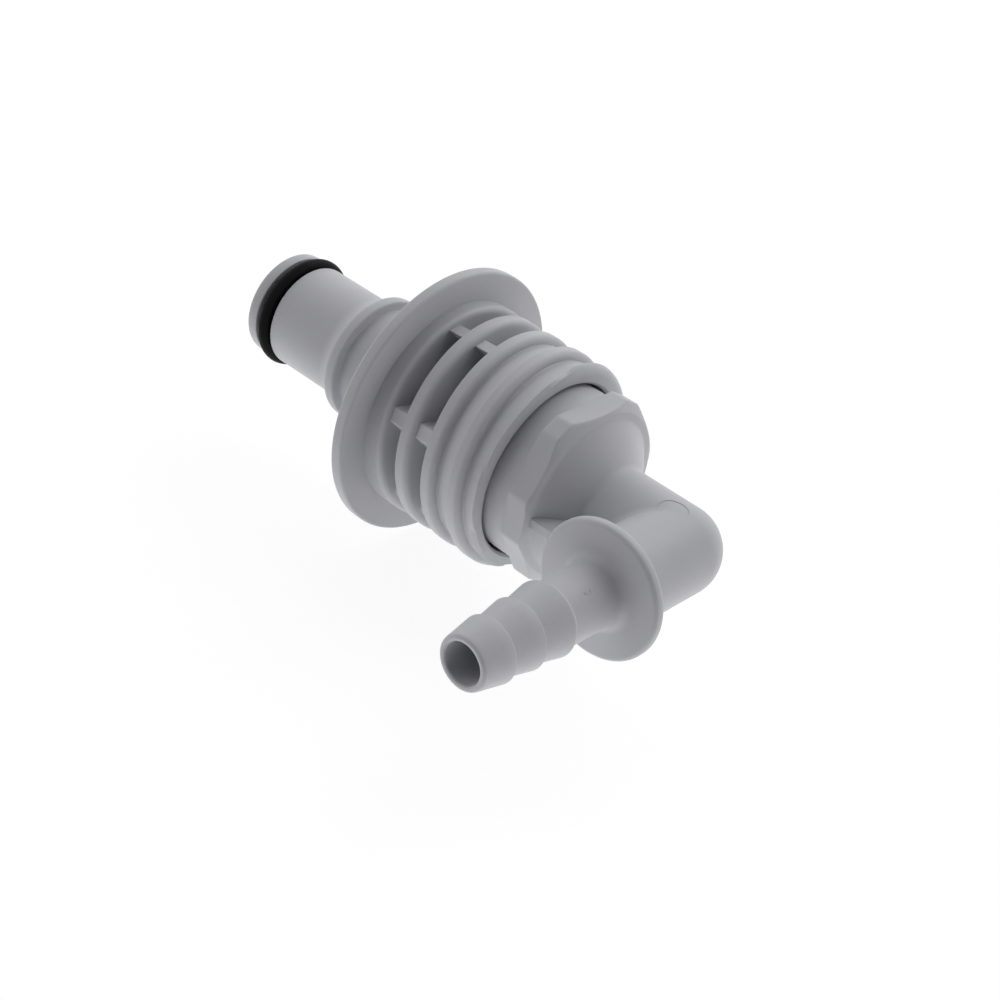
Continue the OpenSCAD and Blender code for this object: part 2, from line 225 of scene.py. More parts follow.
# %% [markdown]
# ## Give the frame's pieces their finishes
# The frame's own pieces stay as they are, and only their material slots change.

# %% Assign the finishes
FINISHES = {
    "body": grey_acetal, "elbow": grey_acetal, "nose_seal": rubber, "elbow_seal": rubber,
    "poppet": natural_acetal, "poppet_seal": rubber, "valve_spring": wire_steel,
    "spring_guide": natural_acetal,
}
for name, material in FINISHES.items():
    mesh = nodes[name].data
    mesh.materials.clear()
    mesh.materials.append(material)

# %% [markdown]
# ## Turned shapes
# The nose, the flange and the bores are round, so an outline swung about the main axis gives them.
# An outline is a list of (place along the axis, radius) in millimetres, and arcs round its corners.

# %% Helpers for outlines and turned meshes
def arc(centre_x, centre_r, radius, start, end, steps=5):
    """Points on an arc, with angles in degrees from the axis towards larger radii."""
    turns = [math.radians(start + (end - start) * i / steps) for i in range(steps + 1)]
    return [(centre_x + radius * math.cos(t), centre_r + radius * math.sin(t)) for t in turns]


def turned_shape(bm, outline, angles, closed=False):
    """Adds faces for an outline swung about the X axis; returns the rings' vertices by point."""
    rings = [[bm.verts.new((x * MM, r * MM * math.cos(math.radians(a)),
                            r * MM * math.sin(math.radians(a)))) for a in angles]
             for x, r in outline]
    pairs = list(zip(rings, rings[1:] + rings[:1])) if closed else list(zip(rings, rings[1:]))
    for low, high in pairs:
        for i in range(len(angles)):
            k = (i + 1) % len(angles)
            bm.faces.new((low[i], low[k], high[k], high[i]))
    return rings


def finish_mesh(bm, name, merge=True, sharp_above=32.0):
    """Merges doubles, turns the faces outwards, marks sharp edges and returns the object."""
    if merge:
        bmesh.ops.remove_doubles(bm, verts=bm.verts, dist=0.004 * MM)
        bmesh.ops.dissolve_degenerate(bm, edges=bm.edges, dist=0.002 * MM)
        bmesh.ops.delete(bm, geom=[e for e in bm.edges if not e.link_faces], context="EDGES")
        bmesh.ops.delete(bm, geom=[v for v in bm.verts if not v.link_faces], context="VERTS")
    bmesh.ops.recalc_face_normals(bm, faces=bm.faces)
    for face in bm.faces:
        face.smooth = True
    for edge in bm.edges:
        edge.smooth = edge.is_manifold and math.degrees(edge.calc_face_angle(0.0)) < sharp_above
    mesh = bpy.data.meshes.new(name)
    bm.to_mesh(mesh)
    bm.free()
    piece = bpy.data.objects.new(name, mesh)
    bpy.context.scene.collection.objects.link(piece)
    return piece


PULL_ANGLE = 135
ANGLES = [2 * i for i in range(180)]
print("columns round the axis:", len(ANGLES))

# %% [markdown]
# ## The threaded barrel
# The panel nut runs on a coarse thread: a narrow ridge with a rounded back, and a long slope up to
# the next ridge. Behind the ridges the mould cores out deep pockets, so that no wall is thick. All
# of it follows a rule, so Geometry Nodes wrap a flat sheet into the barrel. A row of the sheet
# follows the thread, so every ridge gets clean edges. Y in the sheet says where a row lies: from 0
# to 1 over the ridge, and from 1 to 2 over the slope behind it.

# %% Turn a written formula into Math nodes
import ast

SIGNS = {ast.Add: "ADD", ast.Sub: "SUBTRACT", ast.Mult: "MULTIPLY", ast.Div: "DIVIDE",
         ast.Pow: "POWER"}
WORDS = {"min": "MINIMUM", "max": "MAXIMUM", "sqrt": "SQRT", "sin": "SINE", "cos": "COSINE",
         "abs": "ABSOLUTE", "mod": "FLOORED_MODULO", "above": "GREATER_THAN", "whole": "FLOOR"}


def formula(tree, text, names):
    """Adds the Math nodes for a formula and returns its result; names gives its words' sockets."""
    def build(part):
        if isinstance(part, ast.Name):
            return names[part.id]
        if isinstance(part, ast.Constant):
            return part.value
        if isinstance(part, ast.BinOp):
            values, kind = (part.left, part.right), SIGNS[type(part.op)]
        else:
            values, kind = part.args, WORDS[part.func.id]
        inputs = {i: build(value) for i, value in enumerate(values)}
        return add(tree, "ShaderNodeMath", inputs, operation=kind).outputs[0]
    return build(ast.parse(text).body[0].value)


# %% Lay out the flat sheet
BARREL_LENGTH = 17.25
CREST_WIDTH, FLANK_WIDTH, WALL_WIDTH = 1.07, 0.66, 0.2
LAND = CREST_WIDTH + FLANK_WIDTH + WALL_WIDTH
FIRST_TURN, LAST_TURN = -2, 4
ridge_rows = [0.0, 0.03, 0.08, 0.15, 0.5, 0.8]
ridge_rows += [CREST_WIDTH + FLANK_WIDTH * math.sin(math.radians(f)) for f in range(0, 91, 10)]
ridge_rows += [CREST_WIDTH + FLANK_WIDTH + 0.11, LAND]
sheet_rows = [-1.0] + [u / LAND for u in ridge_rows]
sheet_rows += [1.06, 1.14, 1.25, 1.5, 1.75, 1.92, 1.98, 2.0]
sheet_angles = [a + 360 * turn for turn in range(FIRST_TURN, LAST_TURN) for a in ANGLES]
sheet_points = [(a, y, 0) for a in sheet_angles for y in sheet_rows]
count = len(sheet_rows)
sheet_faces = [(c * count + r, (c + 1) * count + r, (c + 1) * count + r + 1, c * count + r + 1)
               for c in range(len(sheet_angles) - 1) for r in range(count - 1)]
sheet_mesh = bpy.data.meshes.new("barrel_sheet")
sheet_mesh.from_pydata(sheet_points, [], sheet_faces)
sheet = bpy.data.objects.new("barrel_sheet", sheet_mesh)
bpy.context.scene.collection.objects.link(sheet)
print("sheet:", len(sheet_angles), "columns of", count, "rows")

# %% Build a tree that moves every point by written rules
def rule_tree(name, sizes, rules, place):
    """Makes a tree with named sizes as inputs, whose rules turn a flat point into a placed one."""
    tree = bpy.data.node_groups.new(name, "GeometryNodeTree")
    tree.interface.new_socket("Geometry", in_out="INPUT", socket_type="NodeSocketGeometry")
    for size in sizes:
        tree.interface.new_socket(size, in_out="INPUT", socket_type="NodeSocketFloat")
    tree.interface.new_socket("Finish", in_out="INPUT", socket_type="NodeSocketMaterial")
    tree.interface.new_socket("Geometry", in_out="OUTPUT", socket_type="NodeSocketGeometry")
    group_in = add(tree, "NodeGroupInput")
    flat = add(tree, "ShaderNodeSeparateXYZ", {
        0: add(tree, "GeometryNodeInputPosition").outputs[0]})
    known = {size: group_in.outputs[size] for size in sizes}
    known.update(x=flat.outputs["X"], y=flat.outputs["Y"], z=flat.outputs["Z"])
    for word, text in rules.items():
        known[word] = formula(tree, text, known)
    placed = add(tree, "ShaderNodeCombineXYZ", {
        axis: formula(tree, text, known) for axis, text in zip("XYZ", place)})
    moved = add(tree, "GeometryNodeSetPosition", {
        "Geometry": group_in.outputs[0], "Position": placed.outputs[0]})
    real = add(tree, "GeometryNodeRealizeInstances", {0: moved.outputs[0]})
    dressed = add(tree, "GeometryNodeSetMaterial", {
        "Geometry": real.outputs[0], "Material": group_in.outputs["Finish"]})
    add(tree, "NodeGroupOutput", {0: dressed.outputs[0]})
    print(name, "has", len(tree.nodes), "nodes")
    return tree


def run_tree(piece, tree, values):
    """Runs a tree on an object with the named values and returns the plain mesh that it makes."""
    modifier = piece.modifiers.new("rule", "NODES")
    modifier.node_group = tree
    for socket in tree.interface.items_tree:
        if socket.in_out == "INPUT" and socket.name in values:
            modifier[socket.identifier] = values[socket.name]
    graph = bpy.context.evaluated_depsgraph_get()
    mesh = bpy.data.meshes.new_from_object(piece.evaluated_get(graph))
    piece.modifiers.remove(modifier)
    return mesh


def joined(name, base, extra, kind="UNION"):
    """Joins two closed pieces into one skin, or cuts the second away, and removes the two."""
    union = base.modifiers.new("union", "BOOLEAN")
    union.operation = kind
    union.solver = "MANIFOLD"
    union.object = extra
    graph = bpy.context.evaluated_depsgraph_get()
    bm = bmesh.new()
    bm.from_mesh(bpy.data.meshes.new_from_object(base.evaluated_get(graph)))
    for piece in (base, extra):
        bpy.data.objects.remove(piece)
    piece = finish_mesh(bm, name, merge=False)
    piece.data.materials.clear()
    piece.data.materials.append(grey_acetal)
    return piece


# %% Name the barrel's sizes and write its rules
SIZES = {
    "first_turn": 3.1, "pitch": 4.142, "ring": 0.28, "crest_radius": 13.6, "depth": 1.1,
    "crest": CREST_WIDTH, "flank": FLANK_WIDTH, "land": LAND, "edge": 0.13, "wall": 0.11,
    "length": BARREL_LENGTH, "end_round": 1.2, "groove_start": -405.0, "fade": 45.0,
    "run_in": 1163.0, "run_in_span": 7.5, "pull": PULL_ANGLE, "pocket_from": -305.0,
    "pocket_to": 395.0, "pocket_floor": 10.0, "pocket_flat": 48.0, "pocket_half": 80.0,
    "lift": 1.04, "round_power": 2.2, "foot_rise": 0.13, "foot_span": 0.4, "step": 0.22,
}
RULES = {
    # Angle round the unrolled thread in degrees, and place of this turn's ridge, of the ring that the first turn becomes, and of the next ridge
    "a": "x",
    "turn": "first_turn + pitch * a / 360",
    "lead": "max(turn, ring)",
    "next": "turn + pitch",
    # Place of the point along the axis
    "over": "turn + (min(y, 0) + 1) * (lead - turn) + min(max(y, 0), 1) * land",
    "free": "over + max(y - 1, 0) * (next - lead - land)",
    "px": "min(max(min(free, next), 0), length)",
    # Depth of the groove here, and of the one in front of this ridge
    "groove": "depth * min(max((a - groove_start) / fade, 0), 1)",
    "nose": "edge * min(max((a - groove_start - 360) / fade, 0), 1)",
    "after": "edge * min(max((a - groove_start) / fade, 0), 1)",
    # Rounded back of the ridge
    "s": "min(max((px - lead - crest) / flank, 0), 1)",
    "back": "groove * (1 - max(1 - s ** round_power, 0) ** (1 / round_power))",
    # Slope up to the next ridge, or out over the barrel's end behind the last one
    "late": "min(max((a - run_in + 360) / run_in_span, 0), 1)",
    "far": "next + late * max(length + 1 - next, 0)",
    "root": "lead + crest + flank",
    "t": "min(max((px - root) / max(far - root, 0.001), 0), 1)",
    "front": "min(max((px - turn) / edge, 0), 1)",
    "lip": "nose * (1 - sqrt(max(1 - (1 - front) * (1 - front), 0)))",
    "foot": "foot_rise * groove * max(1 - abs(px - root) / foot_span, 0) ** 2",
    "plain": "crest_radius - back - lip + foot + t * max(groove - edge - step, 0)",
    # Cored pockets, whose floor rises to their ends
    "off": "abs(mod(a - pull + 90, 180) - 90)",
    "rise": "lift * (max(off - pocket_flat, 0) / (pocket_half - pocket_flat)) ** 1.5",
    "near_floor": "pocket_floor + (crest_radius - depth - pocket_floor) * rise",
    "far_floor": "pocket_floor + (crest_radius - edge - pocket_floor) * rise",
    "cored": "above(a, pocket_from) * above(pocket_to, a)",
    "floor": "near_floor + (far_floor - near_floor) * t + 9 * (1 - cored)",
    "inside": "min(max((px - root) / wall, 0), 1)",
    "cored_radius": "plain + inside * (min(plain, floor) - plain)",
    # The sheet's last row is the next ridge's edge, unless there is no next ridge
    "edge_row": "above(y, 1.99) * (1 - late)",
    "ridged": "cored_radius + edge_row * (crest_radius - after - cored_radius)",
    # Past the last ridge the slope behind it goes on
    "gone": "min(max((a - run_in) / run_in_span, 0), 1)",
    "old_far": "turn + gone * max(length + 1 - turn, 0)",
    "old_root": "root - pitch",
    "old_t": "min(max((px - old_root) / max(old_far - old_root, 0.001), 0), 1)",
    "runout": "crest_radius - depth + old_t * (depth - edge - step)",
    "ended": "ridged + gone * (runout - ridged)",
    # Round edge at the barrel's end
    "end_x": "max(px - length + end_round, 0)",
    "end": "crest_radius - end_round + sqrt(max(end_round * end_round - end_x * end_x, 0))",
    "radius": "min(ended, end)",
}
barrel_tree = rule_tree("threaded_barrel", SIZES, RULES, (
    "px * 0.001", "radius * cos(a * 0.01745329) * 0.001", "radius * sin(a * 0.01745329) * 0.001"))

# %% Wrap the sheet and read the result back
barrel_mesh = run_tree(sheet, barrel_tree, {**SIZES, "Finish": grey_acetal})
bpy.data.objects.remove(sheet)
print("barrel:", len(barrel_mesh.polygons), "faces before merging")

# %% [markdown]
# ## The body
# The rest of the body is turned: the flange, the neck with its bead, the nose with the O-ring's
# groove and its lip, and the way through. It meets the barrel at the seat face and at the end face,
# and both share the same columns, so merging their edges closes the body into one skin.

# %% Turn the nose and close the body
CREST_RADIUS = SIZES["crest_radius"]
END_ROUND = SIZES["end_round"]
FLANGE_RADIUS, FLANGE_THICK, RIM_ROUND, BACK_ROUND = 17.2, 1.65, 0.35, 0.3
NOSE_TIP, NOSE_RADIUS, LIP_RADIUS = -28.45, 6.66, 6.8
GROOVE_FROM, GROOVE_TO, GROOVE_RADIUS = -26.8, -24.3, 5.52
BEAD_X, BEAD_WALL, BEAD_RADIUS, BEAD_ROUND, BEAD_BLEND = -12.35, -11.3, 8.15, 0.9, 3.0
NECK_RADIUS, NECK_BLEND = 7.0, 0.8
bead_rise = NOSE_RADIUS + BEAD_BLEND - (BEAD_RADIUS - BEAD_ROUND)
bead_run = math.sqrt((BEAD_ROUND + BEAD_BLEND) ** 2 - bead_rise ** 2)
bead_slope = math.degrees(math.atan2(bead_rise, bead_run))
outline = [(0, CREST_RADIUS)]
outline += arc(-RIM_ROUND, FLANGE_RADIUS - RIM_ROUND, RIM_ROUND, 0, 90)
outline += arc(-FLANGE_THICK + BACK_ROUND, FLANGE_RADIUS - BACK_ROUND, BACK_ROUND, 90, 180)
outline += arc(-FLANGE_THICK - NECK_BLEND, NECK_RADIUS + NECK_BLEND, NECK_BLEND, 0, -90, 6)
outline += arc(BEAD_WALL + 0.1, NECK_RADIUS + 0.1, 0.1, -90, -180, 3)
outline += arc(BEAD_WALL - 0.25, BEAD_RADIUS - 0.25, 0.25, 0, 90, 5)
outline += arc(BEAD_X, BEAD_RADIUS - BEAD_ROUND, BEAD_ROUND, 90, 180 - bead_slope, 10)
outline += arc(BEAD_X - bead_run, NOSE_RADIUS + BEAD_BLEND, BEAD_BLEND, -bead_slope, -90, 10)
outline += arc(GROOVE_TO + 0.12, NOSE_RADIUS - 0.12, 0.12, 90, 180, 3)
outline += arc(GROOVE_TO - 0.2, GROOVE_RADIUS + 0.2, 0.2, 0, -90, 3)
outline += arc(GROOVE_FROM + 0.2, GROOVE_RADIUS + 0.2, 0.2, -90, -180, 3)
outline += arc(GROOVE_FROM - 0.12, LIP_RADIUS - 0.12, 0.12, 0, 90, 3)
outline += arc(NOSE_TIP + 0.4, LIP_RADIUS - 0.4, 0.4, 90, 180, 5)
outline += arc(NOSE_TIP + 0.2, 3.3, 0.2, 180, 270, 3)
outline += [(-27.45, 3.1), (-26.15, 4.4), (-5.0, 4.4), (-1.0, 7.2), (-1.0, 8.3), (13.25, 8.3)]
outline += [(13.25, 11.2), (BARREL_LENGTH - 0.3, 11.2), (BARREL_LENGTH, 11.5)]
outline += [(BARREL_LENGTH, CREST_RADIUS - END_ROUND)]
bm = bmesh.new()
bm.from_mesh(barrel_mesh)
turned_shape(bm, outline, ANGLES)
body = finish_mesh(bm, "body_skin")
body.data.materials.append(grey_acetal)
bpy.data.meshes.remove(barrel_mesh)
print("body before its webs:", len(body.data.polygons), "faces")

# %% [markdown]
# ## Webs in the pockets
# Two webs cross each pocket and tie the ridges together. The mould opens along one slanting line,
# so the webs are upright along it, and only the inner side of the lower ones leans. Eight small
# blocks with rounded edges are laid side by side, and a tree moves each to its pocket: X says which
# block a point belongs to and how far it is along the block, Y how far across, and Z how high.

# %% Lay out the blocks
WEBS, SPACING = 8, 10.0
bm = bmesh.new()
for number in range(WEBS):
    made = bmesh.ops.create_cube(bm, size=1.0, matrix=Matrix.Translation((number * SPACING, 0, 0)))
    edges = {edge for vertex in made["verts"] for edge in vertex.link_edges}
    bmesh.ops.bevel(bm, geom=list(edges), offset=0.05, segments=2, profile=0.5, affect="EDGES")
block_mesh = bpy.data.meshes.new("web_blocks")
bm.to_mesh(block_mesh)
bm.free()
blocks = bpy.data.objects.new("web_blocks", block_mesh)
bpy.context.scene.collection.objects.link(blocks)

# %% Move the blocks into the pockets
WEB_SIZES = {
    "first_turn": 3.1, "pitch": 4.142, "before": 1.45, "pull": PULL_ANGLE, "spacing": SPACING,
    "upper_from": 5.95, "upper_to": 7.3, "lower_from": 4.9, "lower_to": 6.5, "lean": 1.7,
    "floor": 9.6, "low_top": 12.85, "rise": 0.55, "reach": 3.05,
}
WEB_RULES = {
    # Number of the block, and the point's place in it, from 0 to 1 along, across and up
    "index": "whole(x / spacing + 0.5)",
    "along": "x - index * spacing + 0.5",
    "across": "y + 0.5",
    "up": "z + 0.5",
    "lower": "mod(index, 2)",
    "pocket": "(index - lower) / 2",
    # Angle of the pocket's middle on the unrolled thread, and of the web
    "middle": "pull - 360 + 180 * pocket",
    "angle": "middle + (lower * 2 - 1) * 27",
    "start": "first_turn + pitch * angle / 360 + before",
    "out_x": "start + along * reach",
    "top": "low_top + rise * min(max((along * reach - 0.7) / 2, 0), 1)",
    "radius": "floor + up * (top - floor)",
    # Distance from the plane through the axis along which the mould opens
    "upper_side": "upper_from + across * (upper_to - upper_from)",
    "lower_side": "lower_from + across * (lower_to - lower_from) - lean * (1 - up) * (1 - across)",
    "beside": "lower * lower_side - (1 - lower) * upper_side",
    "high": "sqrt(radius * radius - beside * beside)",
    "turned": "(pull + 180 * mod(pocket, 2)) * 0.01745329",
}
web_tree = rule_tree("pocket_webs", WEB_SIZES, WEB_RULES, (
    "out_x * 0.001",
    "(high * cos(turned) - beside * sin(turned)) * 0.001",
    "(high * sin(turned) + beside * cos(turned)) * 0.001"))
bm = bmesh.new()
bm.from_mesh(run_tree(blocks, web_tree, {**WEB_SIZES, "Finish": grey_acetal}))
bpy.data.objects.remove(blocks)
webs = finish_mesh(bm, "pocket_webs")
body = joined("moulded_body", body, webs)
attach(body, "housing")
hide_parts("body")
print("body:", len(body.data.polygons), "faces")

# %% [markdown]
# ## The elbow
# The elbow is one moulding too: a spigot that plugs into the body, a hexagonal collar for a spanner,
# a shoulder, a bent tube with a stop flange, and a barb of three steps that hose is pushed over. Its
# skin is laid down as rings, from the spigot round the bend to the tip and back through the bore.
# At the bend each ring lies in a plane that swings about a pivot inside the corner, and its points
# are found by walking out from the middle until they reach the skin of two joined tubes. That keeps
# one even mesh with soft inner corners, where cutting and joining cylinders would leave hard seams.

# %% Rings for the elbow
import numpy as np

COLUMNS = 240
TUBE = 5.48
GATE, GATE_RADIUS, GATE_DEPTH = (35.15, -1.05), 1.8, 0.055
turns = np.radians(np.arange(COLUMNS) * 360 / COLUMNS)
CORNER_X = 35.85
PIVOT = 8.0


def ring(centre, across, radii):
    """Points of a ring about a centre in the XY plane, where across is its direction for angle 0."""
    across = np.array([across[0], across[1], 0.0])
    centre = np.array([centre[0], centre[1], 0.0])
    way = np.cos(turns)[:, None] * across + np.sin(turns)[:, None] * np.array([0.0, 0.0, 1.0])
    return centre + np.broadcast_to(radii, COLUMNS)[:, None] * way


def bend(start, middle, end, steps=5):
    """Points on a smooth curve that leaves start and reaches end along lines through middle."""
    shares = [i / steps for i in range(steps + 1)]
    return [tuple((1 - s) ** 2 * a + 2 * s * (1 - s) * b + s * s * c
                  for a, b, c in zip(start, middle, end)) for s in shares]


def inside_tubes(points, radius, blend):
    """Distance outside two tubes that meet at the corner, negative inside, with a soft inner edge."""
    x, y, z = points.T
    beside = np.sqrt(np.maximum(x - CORNER_X, 0) ** 2 + y ** 2 + z ** 2) - radius
    below = np.sqrt((x - CORNER_X) ** 2 + np.maximum(y, 0) ** 2 + z ** 2) - radius
    soft = np.clip(np.minimum(CORNER_X - x, -y) / radius, 0.001, 1) * blend
    near = np.maximum(soft - np.abs(beside - below), 0) / soft
    return np.minimum(beside, below) - near ** 2 * soft / 4


def corner_rings(radius, blend, step):
    """Rings round the bend, from the main axis to the barb's axis."""
    rings = []
    for turn in np.radians(np.arange(0, 90 + step / 2, step)):
        across = np.array([math.sin(turn), math.cos(turn)])
        reach = PIVOT / max(across)
        centre = np.array([CORNER_X - PIVOT, -PIVOT]) + reach * across
        low, high = np.zeros(COLUMNS), np.full(COLUMNS, 12.0)
        for _ in range(40):
            middle = (low + high) / 2
            outside = inside_tubes(ring(centre, across, middle), radius, blend) > 0
            high = np.where(outside, middle, high)
            low = np.where(outside, low, middle)
        rings.append((centre, across, low))
    return rings


# %% Outline of the spigot, the collar and the hexagon
HEX_X, HEX_END, HEX_DISTANCE, HEX_TOP, HEX_CORNER = 19.85, 23.05, 10.85, 10.8, 11.74
HEX_BARB_SIDE, SHARPNESS = 10.9, 300.0
flats = [(30 + 60 * i, HEX_DISTANCE) for i in range(6)]
flats += [(60 * i, HEX_CORNER) for i in range(6)]
flats += [(90, HEX_TOP), (270, HEX_TOP), (180, HEX_BARB_SIDE)]


def hexagon(limit, inset):
    """Radii of the rounded hexagon for every column, no further out than the limit."""
    closeness = [np.maximum(np.cos(turns - math.radians(angle)), 0) / (distance - inset)
                 for angle, distance in flats]
    closeness.append(np.full(COLUMNS, 1 / limit))
    return 1 / sum(c ** SHARPNESS for c in closeness) ** (1 / SHARPNESS)


rows = [(1.0, 6.0), (1.0, 8.05), (1.2, 8.25), (6.0, 8.25), (6.0, 6.95), (8.2, 6.95), (8.2, 8.25),
        (13.55, 8.25), (13.55, 10.63), (13.75, 10.83), (16.0, 10.83), (18.5, 10.83)]
rows += [(HEX_X - 0.02, 10.83)]
rings = [((x, 0), (0, 1), radius) for x, radius in rows]
for x, inset in ((HEX_X, 0.24), (HEX_X + 0.03, 0.12), (HEX_X + 0.1, 0.035), (HEX_X + 0.24, 0.0)):
    rings.append(((x, 0), (0, 1), np.maximum(hexagon(13.0, inset), 10.83)))
for x in (20.6, 21.4, 21.9, 22.1, 22.25, 22.4, 22.55, 22.7, 22.85, 22.95):
    limit = 12.05 - max(x - 22.15, 0) / 0.9 * 1.4
    rings.append(((x, 0), (0, 1), hexagon(limit, 0.0)))
print("rings up to the hexagon:", len(rings))

# %% Outline of the shoulder, the bend and the barb
BORE, TIP_BORE = 3.6, 2.42
rows = bend((22.99, 10.7), (HEX_END, 10.62), (HEX_END, 10.5), 3)
rows += bend((HEX_END, 9.9), (HEX_END, 9.7), (23.21, 9.51), 4)
rows += bend((26.3, 5.9), (26.65, TUBE), (27.15, TUBE), 6)
rings += [((x, 0), (0, 1), radius) for x, radius in rows]
rings += corner_rings(TUBE, 1.0, 1.25)
STOP_FROM, STOP_TO, STOP_RADIUS, STOP_ROUND = 11.8, 13.3, 8.2, 0.55
NECK, COVE = 3.85, 1.2
rows = [(9.6, TUBE)] + bend((11.3, TUBE), (STOP_FROM, TUBE), (STOP_FROM, TUBE + 0.5), 5)
rows += arc(STOP_FROM + STOP_ROUND, STOP_RADIUS - STOP_ROUND, STOP_ROUND, 180, 90, 6)
rows += arc(STOP_TO - STOP_ROUND, STOP_RADIUS - STOP_ROUND, STOP_ROUND, 90, 0, 6)
rows += arc(STOP_TO + COVE, NECK + COVE, COVE, 180, 270, 8)
rows += [(14.9, NECK), (15.6, NECK), (16.4, NECK), (17.0, NECK)]
rows += [(17.2 + 0.12 * i, NECK) for i in range(16)] + [(19.8, NECK), (20.6, NECK)]
STEPS = [(21.6, 4.37, 25.6, 3.59), (25.85, 4.12, 29.85, 3.34), (30.1, 3.87, 33.75, 3.23)]
for i, (top, top_radius, foot, foot_radius) in enumerate(STEPS):
    rise = (20.9, NECK) if i == 0 else (top - 0.25, STEPS[i - 1][3])
    slope = (foot_radius - top_radius) / (foot - top)
    rows += [rise]
    rows += bend((top - 0.1, top_radius - 0.1 * (top_radius - rise[1]) / (top - rise[0])),
                 (top, top_radius), (top + 0.14, top_radius + 0.14 * slope), 3)
    rows += [(top + 1.4, top_radius + 1.4 * slope), (foot, foot_radius)]
rows += bend((33.8, 3.22), (34.2, 3.15), (34.2, 2.8), 5)
rows += bend((34.2, 2.76), (34.2, TIP_BORE), (33.85, TIP_BORE), 5)
rows += [(28.0, TIP_BORE), (20.0, TIP_BORE), (13.6, TIP_BORE), (11.2, BORE)]
rings += [((CORNER_X, -y), (1, 0), radius) for y, radius in rows]
rings += corner_rings(BORE, 0.6, 5)[::-1]
rings += [((x, 0), (0, 1), radius) for x, radius in ((20.0, BORE), (15.95, BORE), (13.55, 6.0))]

# %% Join the rings to a skin, and the web to the bend
NICK, NICK_ANGLE, NICK_RADIUS, NICK_DEPTH = -18.1, 60.0, 0.45, 0.1
bm = bmesh.new()
skins = []
for centre, across, radii in rings:
    if abs(centre[1] - NICK) < 0.7 and np.max(radii) == NECK:
        beside = NECK * np.radians(turns * 180 / np.pi - NICK_ANGLE)
        away = np.hypot(beside, centre[1] - NICK)
        cut = np.clip(1 - np.abs(away - NICK_RADIUS) / 0.12, 0, 1) * (beside < 0.1)
        radii = NECK - NICK_DEPTH * cut
    skins.append([bm.verts.new(tuple(point * MM)) for point in ring(centre, across, radii)])
for low, high in zip(skins, skins[1:] + skins[:1]):
    for i in range(COLUMNS):
        k = (i + 1) % COLUMNS
        bm.faces.new((low[i], low[k], high[k], high[i]))
elbow = finish_mesh(bm, "elbow_skin")
bm = bmesh.new()
bmesh.ops.create_cube(bm, size=1.0)
WEB_LOW, WEB_HIGH = (22.4, -9.95, -0.65), (31.3, -4.7, 0.65)
for vertex in bm.verts:
    vertex.co = [MM * (low if part < 0 else high)
                 for part, low, high in zip(vertex.co, WEB_LOW, WEB_HIGH)]
bmesh.ops.bevel(bm, geom=bm.edges[:], offset=0.12 * MM, segments=3, profile=0.5, affect="EDGES")
web = finish_mesh(bm, "elbow_web")
elbow = joined("webbed_elbow", elbow, web)

# %% Cut the mould's round mark into the bend
def bend_heights(places):
    """Heights of the bend's skin over places in the XY plane."""
    low, high = np.zeros(len(places)), np.full(len(places), 8.0)
    for _ in range(40):
        middle = (low + high) / 2
        outside = inside_tubes(np.column_stack([places, middle]), TUBE, 1.0) > 0
        low, high = np.where(outside, low, middle), np.where(outside, middle, high)
    return low


bm = bmesh.new()
rows = []
for radius in (0.6, 1.2, GATE_RADIUS, GATE_RADIUS + 0.01):
    places = [(GATE[0] + radius * math.cos(a), GATE[1] + radius * math.sin(a))
              for a in np.radians(range(0, 360, 5))]
    heights = bend_heights(places) - GATE_DEPTH if radius <= GATE_RADIUS else [7.0] * len(places)
    rows.append([bm.verts.new((x * MM, y * MM, z * MM)) for (x, y), z in zip(places, heights)])
for low, high in zip(rows, rows[1:]):
    for i in range(len(low)):
        k = (i + 1) % len(low)
        bm.faces.new((low[i], low[k], high[k], high[i]))
bm.faces.new(rows[0])
bm.faces.new(rows[-1])
elbow = joined("moulded_elbow", elbow, finish_mesh(bm, "round_mark"), "DIFFERENCE")
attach(elbow, "housing")
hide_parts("elbow")
print("elbow:", len(elbow.data.polygons), "faces")

# %% [markdown]
# ## The O-ring
# The ring is round in section and sits in the nose's groove, a little proud of it.

# %% Turn the O-ring
SEAL_X, SEAL_CENTRE, SEAL_SECTION = -25.55, 6.38, 0.88
section = [(SEAL_X + SEAL_SECTION * math.sin(a), SEAL_CENTRE + SEAL_SECTION * math.cos(a))
           for a in np.radians(range(0, 360, 9))]
bm = bmesh.new()
turned_shape(bm, section, [a * 2 for a in range(180)], closed=True)
seal = finish_mesh(bm, "nose_o_ring")
seal.data.materials.append(rubber)
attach(seal, "housing")
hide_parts("nose_seal")
print("O-ring:", len(seal.data.polygons), "faces")

# %% [markdown]
# ## The spring
# The spring lies in the bore, between the poppet's head and the guide. The frame's own spring
# can't shorten. A copy of its mesh, with its doubles merged, stands in for it and keeps the same
# shape.

# %% Copy the spring
bm = bmesh.new()
bm.from_mesh(nodes["valve_spring"].data)
spring = finish_mesh(bm, "coil_spring", sharp_above=60.0)
spring.data.materials.append(wire_steel)
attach(spring, "housing")
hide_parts("valve_spring")
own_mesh(spring)

# %% [markdown]
# ## Floor and light
# The photograph is a plain studio shot on white. A floor just under the flange catches a soft
# shadow. Part of its white comes straight to the camera, so that it looks white without any more
# light on the object. White walls stand behind and beside the part, and the room behind the
# photographer is darker, so surfaces grow darker as they turn to the lens, and edges stay light.
# A soft lamp above and behind the part adds the shadow on the floor.

